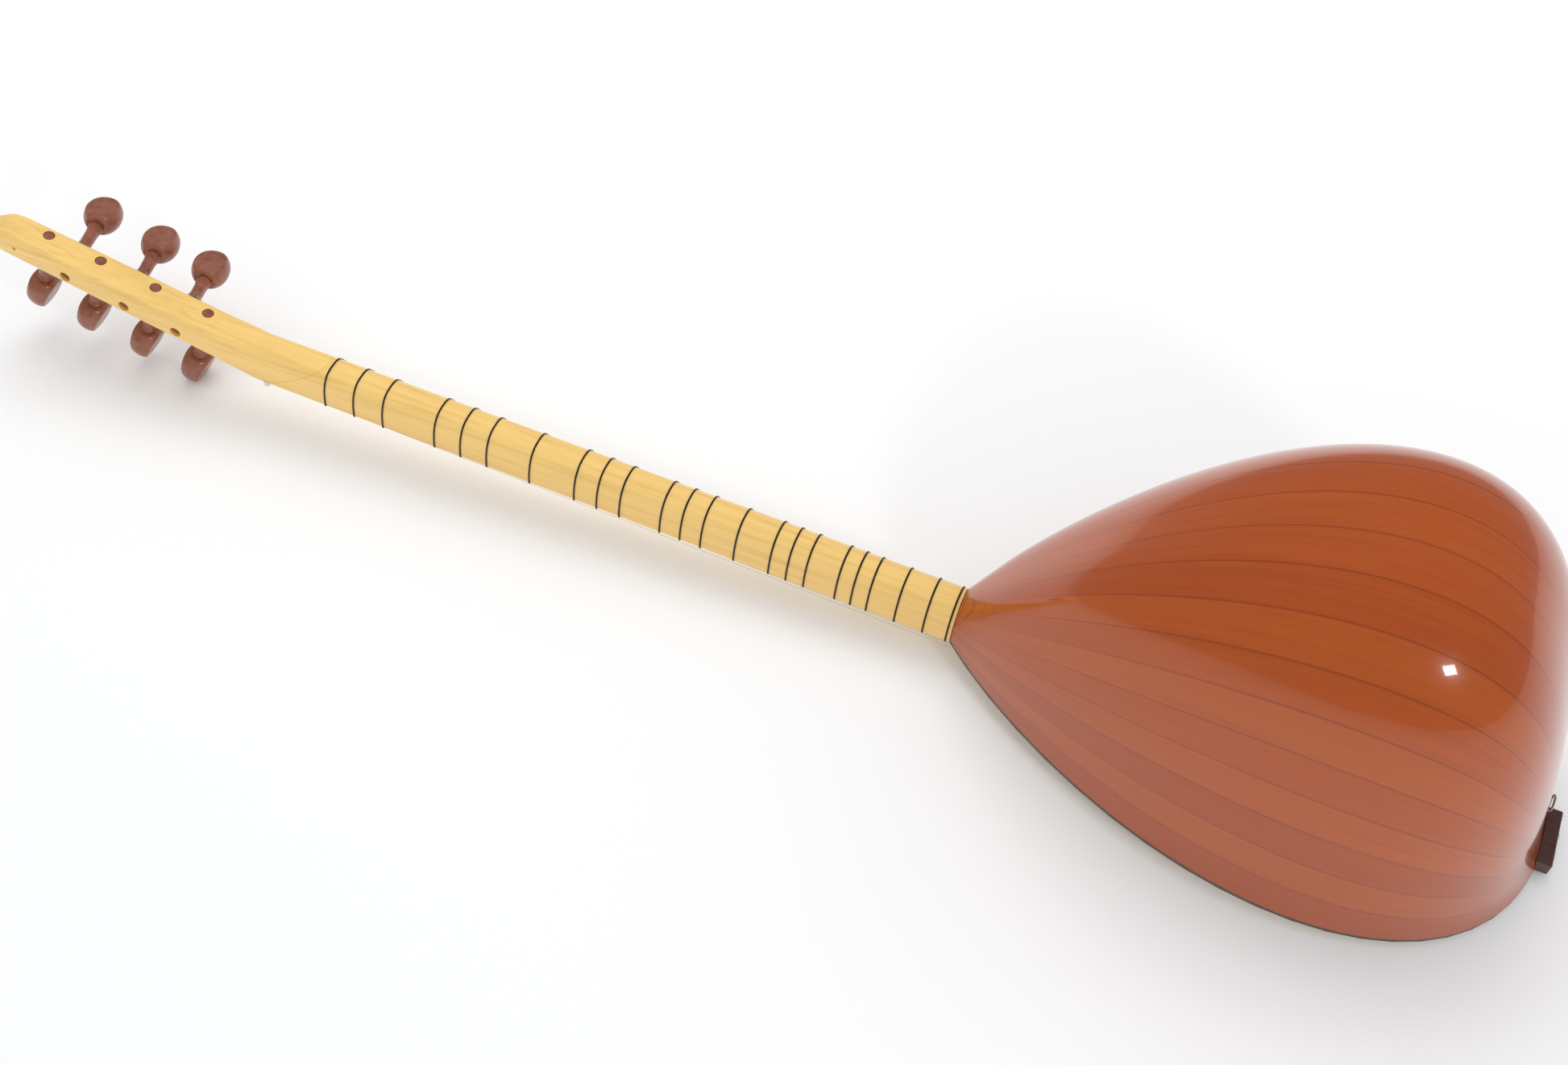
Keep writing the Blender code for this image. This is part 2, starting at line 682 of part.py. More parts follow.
def make_eye():
    """Metal ring that lies against the tail, with its stem in the tail block."""
    z = EYE_HEIGHT - EYE_RADIUS
    x = max(surface_x(EYE_SIDE, EYE_HEIGHT), surface_x(EYE_SIDE, z)) + EYE_WIRE + GAP
    rings = []
    for i in range(24):
        turn = 2 * math.pi * i / 24
        spoke = Vector((0, math.cos(turn), math.sin(turn)))
        centre = Vector((x, EYE_SIDE, EYE_HEIGHT)) + EYE_RADIUS * spoke
        ring = []
        for j in range(8):
            roll = 2 * math.pi * j / 8
            ring.append(centre + EYE_WIRE * (math.cos(roll) * spoke + Vector((math.sin(roll), 0, 0))))
        rings.append(ring)
    eye = solid("strap_eye", *loft(rings, around=True), STEEL)
    boolean(eye, cutter("stem", *eye_stem(0.0, 0.0)), "UNION")


# Pegs

def peg_frame(origin, axis, normal):
    """Matrix with Z along a peg and Y across its flat knob."""
    axis = axis.normalized()
    normal = (normal - normal.dot(axis) * axis).normalized()
    across = normal.cross(axis)
    frame = Matrix((across, normal, axis)).transposed().to_4x4()
    frame.translation = origin
    return frame


def peg_frames():
    """Frame of each peg: the origin is the centre of its small end."""
    frames = {}
    lean = HEAD_TILT + FRONT_PEG_LEAN
    for i, s in enumerate(FRONT_PEG_PLACES):
        back = head_front(s) + head_depth(s)
        axis = Vector((-math.sin(lean), 0, -math.cos(lean)))
        origin = Vector((-NECK_LENGTH - s, FRONT_PEG_OFFSET, back)) + GAP * axis
        frames["front_peg_%d" % (i + 1)] = peg_frame(origin, axis, Vector((1, 0, 0)))
    for i, s in enumerate(SIDE_PEG_PLACES):
        middle = head_front(s) + head_depth(s) / 2 - SIDE_PEG_FORWARD
        axis = Vector((-math.sin(SIDE_PEG_LEAN), math.cos(SIDE_PEG_LEAN), 0))
        origin = Vector((-NECK_LENGTH - s, -head_width(s) / 2, middle)) + SIDE_PEG_RECESS * axis
        frames["side_peg_%d" % (i + 1)] = peg_frame(origin, axis, Vector((0, 0, 1)))
    return frames


PEG_FRAMES = peg_frames()


def shaft_radius(z):
    """Radius of a peg's tapered shaft."""
    return PEG_END_RADIUS + z * PEG_TAPER


def peg_profile():
    """Turned profile (radius, height) of a peg: shaft, three beads and bulb."""
    profile = [(0.0, 0.0), (shaft_radius(0), 0.0), (shaft_radius(PEG_SHAFT), PEG_SHAFT)]
    bead = PEG_COLLAR / 3
    neck = shaft_radius(PEG_SHAFT) * 0.93
    for i in range(3):
        low = PEG_SHAFT + i * bead
        wide = neck + 0.0006 + 0.0002 * i
        profile += [(wide, low + 0.25 * bead), (wide, low + 0.7 * bead), (neck, low + bead)]
    knob = PEG_LENGTH - PEG_SHAFT - PEG_COLLAR
    for i in range(1, 9):
        turn = math.pi * (0.16 + 0.84 * i / 8)
        radius = KNOB_WIDTH / 2 * math.sin(turn) ** 0.8
        height = PEG_LENGTH - knob * (1 + math.cos(turn)) / 1.87
        profile.append((max(0.0, radius), height))
    profile[-1] = (0.0, PEG_LENGTH)
    return profile


def make_peg(name, frame):
    """Peg turned on a lathe, with two flats cut on its bulb."""
    rings = []
    for radius, height in peg_profile():
        ring = []
        for i in range(PEG_SIDES):
            turn = 2 * math.pi * (i + 0.5) / PEG_SIDES
            ring.append((radius * math.cos(turn), radius * math.sin(turn), height))
        rings.append(ring)
    mesh = closed_mesh(name, *loft(rings, False, False))
    bm = bmesh.new()
    bm.from_mesh(mesh)
    shoulder = PEG_SHAFT + PEG_COLLAR
    knob = PEG_LENGTH - shoulder
    slope = math.atan2((KNOB_THICKNESS - KNOB_TIP_THICKNESS) / 2, knob)
    for side in (-1, 1):
        geometry = list(bm.verts) + list(bm.edges) + list(bm.faces)
        place = (0, side * KNOB_THICKNESS / 2, shoulder + 0.2 * knob)
        normal = (0, side * math.cos(slope), math.sin(slope))
        bmesh.ops.bisect_plane(bm, geom=geometry, plane_co=place, plane_no=normal,
                               clear_outer=True)
        open_edges = [edge for edge in bm.edges if edge.is_boundary]
        bmesh.ops.holes_fill(bm, edges=open_edges, sides=0)
    bmesh.ops.recalc_face_normals(bm, faces=bm.faces)
    bm.to_mesh(mesh)
    bm.free()
    peg = add_part(bpy.data.objects.new(name, mesh), PEG_WOOD)
    peg.location = frame.translation
    peg.rotation_euler = frame.to_euler()


# Frets

def make_fret(number, x):
    """One tied loop round the neck, with its knot on the far shoulder."""
    inner = neck_section(x, GAP)
    outer = neck_section(x, GAP + FRET_HEIGHT)
    knot = neck_section(x, GAP + FRET_KNOT)
    rings = []
    for i in range(len(inner)):
        is_knot = i == FRET_KNOT_INDEX
        top = knot[i] if is_knot else outer[i]
        half = FRET_BAND / 2 * (1.8 if is_knot else 1.0)
        rings.append([(-half, *inner[i]), (half, *inner[i]), (half, *top), (-half, *top)])
    fret = solid("fret_%02d" % number, *loft(rings, around=True), NYLON, False)
    fret.location = (x, 0, 0)


# Strings and their windings

def tube(name, points, radius, finish):
    """Round tube along a row of points."""
    data = bpy.data.curves.new(name, "CURVE")
    data.dimensions = "3D"
    data.resolution_u = 1
    data.bevel_depth = radius
    data.bevel_resolution = 1
    data.use_fill_caps = True
    spline = data.splines.new("POLY")
    spline.points.add(len(points) - 1)
    for target, point in zip(spline.points, points):
        target.co = (*point, 1.0)
    return add_part(bpy.data.objects.new(name, data), finish)


def winding_start(name, frame, radius):
    """Centre, first spoke, second spoke and loop radius of a peg's winding."""
    axis = frame.col[2].to_3d()
    is_front = name.startswith("front")
    number = int(name[-1]) - 1
    if is_front:
        s = FRONT_PEG_PLACES[number]
        face = head_depth(s) * math.cos(HEAD_TILT) / math.cos(FRONT_PEG_LEAN)
        first = Vector((0, -1, 0))
    else:
        s = SIDE_PEG_PLACES[number]
        face = head_width(s) / math.cos(SIDE_PEG_LEAN) - SIDE_PEG_RECESS
        first = Vector((0, 0, -1))
    start = face + WINDING_STAND_OFF
    reach = start + WINDING_TURNS * (2 * radius + WINDING_SPACE)
    loop = (shaft_radius(reach) + GAP + radius) / math.cos(math.pi / WINDING_POINTS)
    away = Vector((-1, 0, 0))
    second = (away - away.dot(axis) * axis).normalized()
    centre = frame.translation + start * axis
    return centre, first, second, loop


def make_winding(name, frame, radius):
    """Turns of a string round its peg, as one unbroken tube."""
    centre, first, second, loop = winding_start(name, frame, radius)
    axis = frame.col[2].to_3d()
    pitch = 2 * radius + WINDING_SPACE
    points = []
    for i in range(int(WINDING_TURNS * WINDING_POINTS) + 1):
        turn = 2 * math.pi * i / WINDING_POINTS
        spoke = math.cos(turn) * first + math.sin(turn) * second
        points.append(centre + loop * spoke + pitch * turn / (2 * math.pi) * axis)
    least = min((points[i] - points[j]).length - 2 * radius
                for i in range(len(points))
                for j in range(i + WINDING_POINTS // 2, len(points)))
    print("least gap in the winding of", name, "mm:", round(1000 * least, 3))
    tube("winding_" + name, points, radius, BRONZE if radius == WOUND_RADIUS else STEEL)


def edge_points(target, radius):
    """Points that lead a string over the far front edge of the head."""
    clear = radius + GAP
    reach = -NECK_LENGTH - target.x
    points = []
    for share, turn in EDGE_CROSSING:
        s = share * reach
        angle = math.radians(turn)
        y = head_width(s) / 2 - HEAD_EDGE + (HEAD_EDGE + clear) * math.sin(angle)
        z = head_front(s) + HEAD_EDGE - (HEAD_EDGE + clear) * math.cos(angle)
        points.append(Vector((-NECK_LENGTH - s, y, z)))
    return points


def string_target(name, radius):
    """Place beside a peg's first turn where its string ends."""
    frame = PEG_FRAMES[name]
    centre, first, _, loop = winding_start(name, frame, radius)
    return centre + loop * first - (2 * radius + GAP) * frame.col[2].to_3d()


def crossing_point(nut_y, edge, radius):
    """Place where a string passes over the one that crosses below it."""
    name, low_y, _, _, low_radius = COURSES[CROSSED_STRING]
    start = Vector((NUT_BACK - NUT_THICKNESS, low_y, -STRING_AT_NUT))
    run = edge_points(string_target(name, low_radius), low_radius)[0] - start
    own = edge - Vector((start.x, nut_y, -STRING_AT_NUT))
    share = (nut_y - low_y) / (run.y - own.y * run.x / own.x)
    place = start + share * run
    return place - Vector((0, 0, low_radius + radius + GAP))


def make_string(name, nut_y, bridge_y, tail_y, radius):
    """One string from its peg over the nut and bridge to the tailpiece."""
    clear = radius + GAP
    target = string_target(name, radius)
    points = [target]
    if name.startswith("side"):
        edge = edge_points(target, radius)
        points += reversed(edge)
        if name != COURSES[CROSSED_STRING][0]:
            points.append(crossing_point(nut_y, edge[0], radius))
    points.append(Vector((NUT_PLACE - NUT_THICKNESS / 2, nut_y, -STRING_AT_NUT)))
    points.append(Vector((NUT_BACK, nut_y, -STRING_AT_NUT)))
    points.append(Vector((BRIDGE_PLACE, bridge_y, -STRING_AT_BRIDGE)))
    lip = -TAILPIECE_LOW - clear
    points.append(Vector((TAILPIECE_FRONT, tail_y, lip)))
    points.append(Vector((TAILPIECE_BACK + 0.5 * clear, tail_y, lip)))
    points.append(Vector((TAILPIECE_BACK + clear, tail_y, -TAILPIECE_LOW)))
    points.append(Vector((TAILPIECE_BACK + clear, tail_y, TAILPIECE_HIGH - TAILPIECE_BEVEL)))
    tube("string_" + name, points, radius, BRONZE if radius == WOUND_RADIUS else STEEL)


# Resting pose

def rest_angle():
    """Tilt that brings the bridge's crest and a front knob's tip level."""
    crest = -crown(BRIDGE_PLACE, 0.0) - GAP - BRIDGE_HEIGHT
    tip = PEG_FRAMES["front_peg_1"] @ Vector((0, 0, PEG_LENGTH))
    return math.atan2(crest - tip.z, BRIDGE_PLACE - tip.x)


def settle():
    """Put the middle of the whole object's underside at the origin."""
    REST.rotation_euler = (0, rest_angle(), 0)
    bpy.context.view_layer.update()
    depsgraph = bpy.context.evaluated_depsgraph_get()
    low = Vector((1e9, 1e9, 1e9))
    high = -low
    for obj in PARTS:
        final = obj.evaluated_get(depsgraph)
        mesh = final.to_mesh()
        for vertex in mesh.vertices:
            point = obj.matrix_world @ vertex.co
            for axis in range(3):
                low[axis] = min(low[axis], point[axis])
                high[axis] = max(high[axis], point[axis])
        final.to_mesh_clear()
    REST.location = (-(low.x + high.x) / 2, -(low.y + high.y) / 2, -low.z)
    print("size:", [round(v, 4) for v in high - low])
    print("rest tilt:", rest_angle(), "shift:", list(REST.location))
    print("pegs:", {name: [list(frame.translation), list(frame.col[2].to_3d())]
                    for name, frame in PEG_FRAMES.items()})
    print("frets:", [-NECK_LENGTH + SCALE_LENGTH * (1 - 1 / ratio) for ratio in FRET_RATIOS])
    print("eye:", [surface_x(EYE_SIDE, EYE_HEIGHT), EYE_SIDE, EYE_HEIGHT])


make_bowl()
make_blocks()
make_front_plate()
make_neck()
make_head()
make_nut()
make_bridge()
make_tailpiece()
make_eye()
for peg_name, peg_place in PEG_FRAMES.items():
    make_peg(peg_name, peg_place)
for index, ratio in enumerate(FRET_RATIOS):
    make_fret(index + 1, -NECK_LENGTH + SCALE_LENGTH * (1 - 1 / ratio))
for course in COURSES:
    make_string(*course)
    make_winding(course[0], PEG_FRAMES[course[0]], course[4])
settle()
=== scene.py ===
"""Looks and stage of a long-necked lute that lies face down."""
import json
import math

import bmesh
import bpy
import numpy as np
from mathutils import Matrix, Vector


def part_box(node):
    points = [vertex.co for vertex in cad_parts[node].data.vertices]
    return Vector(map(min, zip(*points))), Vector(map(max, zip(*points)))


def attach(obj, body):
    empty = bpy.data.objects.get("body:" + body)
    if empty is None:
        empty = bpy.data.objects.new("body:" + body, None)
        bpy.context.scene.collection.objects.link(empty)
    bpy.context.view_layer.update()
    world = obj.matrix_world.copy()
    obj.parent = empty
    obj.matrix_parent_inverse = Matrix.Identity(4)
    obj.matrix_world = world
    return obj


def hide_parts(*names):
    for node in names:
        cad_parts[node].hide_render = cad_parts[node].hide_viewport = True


bl_info = {
    "name": "Long-necked lute",
    "version": (1, 0, 0),
    "blender": (4, 5, 0),
    "location": "View3D > Sidebar > Lute",
    "description": "Builds the visible surfaces, finishes and stage of a long-necked lute",
    "category": "Add Mesh",
}

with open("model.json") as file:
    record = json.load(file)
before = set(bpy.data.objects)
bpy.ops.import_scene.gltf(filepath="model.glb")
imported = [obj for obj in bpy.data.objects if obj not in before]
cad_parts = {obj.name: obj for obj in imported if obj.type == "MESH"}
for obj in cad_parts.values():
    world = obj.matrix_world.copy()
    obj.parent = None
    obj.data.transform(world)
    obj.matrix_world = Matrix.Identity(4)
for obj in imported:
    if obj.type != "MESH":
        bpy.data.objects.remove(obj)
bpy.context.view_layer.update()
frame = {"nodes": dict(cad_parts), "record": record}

# Sizes of the instrument, in metres, in its own frame
GAP = 0.0003
SCALE_LENGTH = 0.880
NECK_LENGTH = 0.553
RIM = 0.003
PEG_START = 0.061
PEG_OFFSET = 0.0046
HEAD_LENGTH = 0.2425
HEAD_TILT = math.radians(9.5)
PEG_LENGTH = 0.083
PEG_SHAFT = 0.046
PEG_COLLAR = 0.008
PEG_END_RADIUS = 0.00415
PEG_TAPER = 1 / 50
STAVES = 21

# Camera in the instrument's frame, in metres and degrees
CAMERA_PLACE = (0.127247, -0.892979, 1.224829)
CAMERA_YAW = 16.5143
CAMERA_PITCH = 52.0820
CAMERA_ROLL = 7.2161
CAMERA_LENS = 48.345

JOINTS = {joint["name"]: joint for joint in frame["record"]["behaviour"]["joints"]}
BODY_OF = {node: body for body, nodes in frame["record"]["behaviour"]["bodies"].items()
           for node in nodes}
SLOT_OF = {part["node"]: part["material_slot"] for part in frame["record"]["subparts"]}


def head_front(s):
    """Height of the head's front face at a distance from the nut."""
    into_tip = np.maximum(0.0, s - (HEAD_LENGTH - 0.008)) / 0.008
    return math.tan(HEAD_TILT) * np.maximum(0.0, s - 0.013) + 0.003 * into_tip ** 2


def smoothstep(value):
    """Smooth rise from 0 to 1."""
    value = np.clip(value, 0.0, 1.0)
    return value * value * (3 - 2 * value)


def head_depth(s):
    """Depth of the head at a distance from the nut."""
    into_tip = np.maximum(0.0, s - (HEAD_LENGTH - 0.030)) / 0.030
    return (0.0285 - 0.0073 * smoothstep(s / 0.055)) * (1 - 0.45 * into_tip ** 2.5)


def head_width(s):
    """Width of the head at a distance from the nut."""
    width = np.interp(s, (0.0, HEAD_LENGTH / 2, HEAD_LENGTH - 0.016), (0.0321, 0.030, 0.0275))
    into_tip = np.maximum(0.0, s - (HEAD_LENGTH - 0.016)) / 0.016
    return width * np.sqrt(np.maximum(0.0, 1 - into_tip ** 2))


def instrument_matrix():
    """Row frame from instrument frame, from the bridge's slide and a peg's axis."""
    axis = JOINTS["bridge_slide"]["axis"]
    turn = Matrix.Rotation(math.atan2(-axis[2], axis[0]), 4, "Y")
    lean = HEAD_TILT + math.radians(6.9)
    back = float(head_front(PEG_START) + head_depth(PEG_START))
    along = Vector((-math.sin(lean), 0, -math.cos(lean)))
    origin = Vector((-NECK_LENGTH - PEG_START, PEG_OFFSET, back)) + GAP * along
    place = Vector(JOINTS["front_peg_1_turn"]["pos_m"]) - turn.to_3x3() @ origin
    return Matrix.Translation(place) @ turn


TO_ROW = instrument_matrix()
ROW_TURN = np.array(TO_ROW.to_3x3())
ROW_SHIFT = np.array(TO_ROW.translation)


class LuteFinish(bpy.types.PropertyGroup):
    """Colours and finish of the instrument."""

    lacquer: bpy.props.FloatVectorProperty(
        name="Lacquer", description="Colour of the bowl's lacquer", subtype="COLOR",
        default=(0.42, 0.073, 0.004), min=0, max=1)
    blond: bpy.props.FloatVectorProperty(
        name="Blond wood", description="Colour of neck and head", subtype="COLOR",
        default=(0.97, 0.64, 0.20), min=0, max=1)
    peg: bpy.props.FloatVectorProperty(
        name="Pegs", description="Colour of the pegs", subtype="COLOR",
        default=(0.30, 0.10, 0.055), min=0, max=1)
    line: bpy.props.FloatProperty(
        name="Fret line", description="Radius of the line the frets are tied with",
        default=0.00023, min=0.0001, max=0.0005, unit="LENGTH")


class LuteStage(bpy.types.PropertyGroup):
    """Light and floor."""

    world: bpy.props.FloatProperty(
        name="World", description="Strength of the white surroundings", default=0.78, min=0, max=3)
    key: bpy.props.FloatProperty(
        name="Key", description="Power of the large lamp", default=18.0, min=0, max=500,
        unit="POWER")
    floor: bpy.props.FloatProperty(
        name="Floor", description="Size of the floor", default=12.0, min=2, max=50, unit="LENGTH")


# Materials

def node(tree, kind, **values):
    """New shader node with input values by name or number."""
    made = tree.nodes.new(kind)
    for key, value in values.items():
        if hasattr(made, key) and key not in made.inputs:
            setattr(made, key, value)
        else:
            made.inputs[key.replace("_", " ")].default_value = value
    return made


def start_material(name, colour, roughness, metallic=0.0, coat=0.0):
    """Principled material and its tree."""
    made = bpy.data.materials.new(name)
    made.use_nodes = True
    shader = made.node_tree.nodes["Principled BSDF"]
    shader.inputs["Base Color"].default_value = (*colour, 1)
    shader.inputs["Roughness"].default_value = roughness
    shader.inputs["Metallic"].default_value = metallic
    shader.inputs["Coat Weight"].default_value = coat
    shader.inputs["Coat Roughness"].default_value = 0.06
    return made, made.node_tree, shader


def stretched(tree, scale, source="Object"):
    """Coordinates stretched along the grain."""
    place = node(tree, "ShaderNodeTexCoord")
    mapping = node(tree, "ShaderNodeMapping")
    mapping.inputs["Scale"].default_value = scale
    tree.links.new(place.outputs[source], mapping.inputs["Vector"])
    return mapping.outputs["Vector"]


def ramp(tree, factor, stops):
    """Colour ramp from positions and colours."""
    made = node(tree, "ShaderNodeValToRGB")
    elements = made.color_ramp.elements
    while len(elements) < len(stops):
        elements.new(0.5)
    for element, (place, colour) in zip(elements, stops):
        element.position = place
        element.color = (*colour, 1)
    tree.links.new(factor, made.inputs["Fac"])
    return made.outputs["Color"]


def shade(colour, factor):
    """Colour multiplied by a factor or three."""
    factors = factor if isinstance(factor, tuple) else (factor,) * 3
    return tuple(min(1.0, c * f) for c, f in zip(colour, factors))


def add_bump(tree, shader, height, distance, strength=0.4):
    """Bump from a height, on the base layer."""
    bump = node(tree, "ShaderNodeBump", Strength=strength, Distance=distance)
    tree.links.new(height, bump.inputs["Height"])
    tree.links.new(bump.outputs["Normal"], shader.inputs["Normal"])


def rough_range(tree, shader, factor, low, high):
    """Roughness that varies with a factor."""
    spread = node(tree, "ShaderNodeMapRange")
    spread.inputs["To Min"].default_value = low
    spread.inputs["To Max"].default_value = high
    tree.links.new(factor, spread.inputs["Value"])
    tree.links.new(spread.outputs["Result"], shader.inputs["Roughness"])


def wood_material(name, colour, roughness, coat, scale, contrast=0.16):
    """Wood with long grain, pores and a slow change of tone."""
    made, tree, shader = start_material(name, colour, roughness, coat=coat)
    grain = node(tree, "ShaderNodeTexNoise", Scale=1.0, Detail=7.0, Roughness=0.62)
    tree.links.new(stretched(tree, scale), grain.inputs["Vector"])
    slow = node(tree, "ShaderNodeTexNoise", Scale=1.0, Detail=2.0)
    tree.links.new(stretched(tree, tuple(0.12 * value for value in scale)), slow.inputs["Vector"])
    low = shade(colour, (1 - contrast, 1 - 1.5 * contrast, 1 - 2 * contrast))
    high = shade(colour, (1 + 0.4 * contrast, 1 + 0.5 * contrast, 1 + 0.6 * contrast))
    fine = ramp(tree, grain.outputs["Fac"], ((0.32, low), (0.5, colour), (0.68, high)))
    wide = ramp(tree, slow.outputs["Fac"], ((0.35, (0.86, 0.82, 0.78)), (0.65, (1, 1, 1))))
    mix = node(tree, "ShaderNodeMix", data_type="RGBA", blend_type="MULTIPLY")
    mix.inputs["Factor"].default_value = 0.6
    tree.links.new(fine, mix.inputs["A"])
    tree.links.new(wide, mix.inputs["B"])
    tree.links.new(mix.outputs["Result"], shader.inputs["Base Color"])
    rough_range(tree, shader, grain.outputs["Fac"], roughness * 0.8, roughness * 1.25)
    add_bump(tree, shader, grain.outputs["Fac"], 0.00012, 0.25)
    return made


def lacquer_material(colour):
    """Lacquered staves: each has its own tone, with fine dark joints and grain."""
    made, tree, shader = start_material("bowl_lacquer", colour, 0.34, coat=0.75)
    shader.inputs["Specular IOR Level"].default_value = 0.25
    uv = node(tree, "ShaderNodeTexCoord")
    split = node(tree, "ShaderNodeSeparateXYZ")
    tree.links.new(uv.outputs["UV"], split.inputs["Vector"])
    count = node(tree, "ShaderNodeMath", operation="MULTIPLY")
    count.inputs[1].default_value = STAVES
    tree.links.new(split.outputs["X"], count.inputs[0])
    number = node(tree, "ShaderNodeMath", operation="FLOOR")
    tree.links.new(count.outputs[0], number.inputs[0])
    random = node(tree, "ShaderNodeTexWhiteNoise", noise_dimensions="1D")
    tree.links.new(number.outputs[0], random.inputs["W"])
    tones = ramp(tree, random.outputs["Value"],
                 ((0.0, shade(colour, (0.92, 0.87, 0.9))), (0.5, colour),
                  (1.0, shade(colour, (1.05, 1.14, 1.2)))))
    grain = node(tree, "ShaderNodeTexNoise", Scale=1.0, Detail=6.0, Roughness=0.6)
    tree.links.new(stretched(tree, (170.0, 3.5, 1.0), "UV"), grain.inputs["Vector"])
    lines = ramp(tree, grain.outputs["Fac"], ((0.3, (0.80, 0.74, 0.7)), (0.6, (1, 1, 1))))
    mix = node(tree, "ShaderNodeMix", data_type="RGBA", blend_type="MULTIPLY")
    mix.inputs["Factor"].default_value = 0.55
    tree.links.new(tones, mix.inputs["A"])
    tree.links.new(lines, mix.inputs["B"])
    part = node(tree, "ShaderNodeMath", operation="FRACT")
    tree.links.new(count.outputs[0], part.inputs[0])
    edge = node(tree, "ShaderNodeMath", operation="PINGPONG")
    edge.inputs[1].default_value = 0.5
    tree.links.new(part.outputs[0], edge.inputs[0])
    joint = ramp(tree, edge.outputs[0], ((0.0, (0.55, 0.5, 0.5)), (0.035, (1, 1, 1))))
    joined = node(tree, "ShaderNodeMix", data_type="RGBA", blend_type="MULTIPLY")
    joined.inputs["Factor"].default_value = 0.8
    tree.links.new(mix.outputs["Result"], joined.inputs["A"])
    tree.links.new(joint, joined.inputs["B"])
    tree.links.new(joined.outputs["Result"], shader.inputs["Base Color"])
    wave = node(tree, "ShaderNodeTexNoise", Scale=9.0, Detail=2.0)
    tree.links.new(stretched(tree, (1, 1, 1)), wave.inputs["Vector"])
    rough_range(tree, shader, wave.outputs["Fac"], 0.20, 0.30)
    add_bump(tree, shader, wave.outputs["Fac"], 0.0004, 0.15)
    return made


def speckled_material(name, colour, roughness, metallic=0.0, scale=900.0, coat=0.0):
    """Plain material with fine mottling, for line, bone and metal."""
    made, tree, shader = start_material(name, colour, roughness, metallic, coat)
    spots = node(tree, "ShaderNodeTexNoise", Scale=scale, Detail=3.0)
    tree.links.new(stretched(tree, (1, 1, 1)), spots.inputs["Vector"])
    tones = ramp(tree, spots.outputs["Fac"], ((0.35, shade(colour, 0.78)), (0.65, shade(colour, 1.15))))
    tree.links.new(tones, shader.inputs["Base Color"])
    rough_range(tree, shader, spots.outputs["Fac"], roughness * 0.8, roughness * 1.2)
    add_bump(tree, shader, spots.outputs["Fac"], 0.00005, 0.2)
    return made


def finishes():
    """All materials by the record's slot name, made once."""
    if "blond_grain" not in bpy.data.materials:
        look = bpy.context.scene.lute_finish
        lacquer_material(tuple(look.lacquer))
        wood_material("blond_grain", tuple(look.blond), 0.40, 0.25, (9.0, 260.0, 260.0), 0.10)
        wood_material("spruce_grain", (0.78, 0.60, 0.37), 0.55, 0.0, (7.0, 380.0, 90.0), 0.2)
        wood_material("peg_grain", tuple(look.peg), 0.36, 0.35, (160.0, 160.0, 160.0), 0.25)
        wood_material("dark_grain", (0.085, 0.026, 0.016), 0.38, 0.3, (40.0, 400.0, 400.0), 0.3)
        speckled_material("binding_dark", (0.075, 0.058, 0.048), 0.38)
        speckled_material("nylon_line", (0.020, 0.016, 0.015), 0.42, scale=1500.0)
        speckled_material("polished_bone", (0.78, 0.72, 0.58), 0.35, coat=0.2)
        speckled_material("bright_wire", (0.62, 0.60, 0.57), 0.24, 1.0)
        speckled_material("pale_wire", (0.80, 0.74, 0.64), 0.34, 1.0, scale=3000.0)
    names = {"red_lacquer": "bowl_lacquer", "blond_wood": "blond_grain", "spruce": "spruce_grain",
             "peg_wood": "peg_grain", "dark_wood": "dark_grain", "dark_binding": "binding_dark",
             "black_nylon": "nylon_line", "pale_bone": "polished_bone",
             "string_steel": "bright_wire", "wound_string": "pale_wire"}
    return {slot: bpy.data.materials[name] for slot, name in names.items()}


# Meshes

def to_row(points):
    """Points of the instrument frame in the row frame."""
    return np.asarray(points).reshape(-1, 3) @ ROW_TURN.T + ROW_SHIFT


def make_piece(name, points, faces, replaced, uv=None):
    """Smooth closed mesh in the row frame that stands for one CAD node."""
    mesh = bpy.data.meshes.new(name)
    mesh.from_pydata(to_row(points).tolist(), [], faces.tolist() if hasattr(faces, "tolist") else faces)
    if uv is not None:
        layer = mesh.uv_layers.new(name="surface")
        corners = np.empty(len(mesh.loops), dtype=np.int32)
        mesh.loops.foreach_get("vertex_index", corners)
        layer.data.foreach_set("uv", np.asarray(uv, dtype=np.float32)[corners].ravel())
    bm = bmesh.new()
    bm.from_mesh(mesh)
    bmesh.ops.remove_doubles(bm, verts=bm.verts, dist=0.000005)
    bmesh.ops.recalc_face_normals(bm, faces=bm.faces)
    bm.to_mesh(mesh)
    bm.free()
    mesh.polygons.foreach_set("use_smooth", np.ones(len(mesh.polygons), dtype=bool))
    obj = bpy.data.objects.new(name, mesh)
    bpy.context.collection.objects.link(obj)
    obj.data.materials.append(finishes()[SLOT_OF[replaced]])
    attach(obj, BODY_OF[replaced])
    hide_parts(replaced)
    return obj


def grid_faces(rows, columns, closed=False, start=0):
    """Quads of a grid of points, wrapped across its columns when closed."""
    i = np.arange(rows - 1)[:, None]
    j = np.arange(columns if closed else columns - 1)[None, :]
    k = (j + 1) % columns
    quads = np.stack(np.broadcast_arrays(i * columns + j, i * columns + k,
                                         (i + 1) * columns + k, (i + 1) * columns + j), -1)
    return quads.reshape(-1, 4) + start


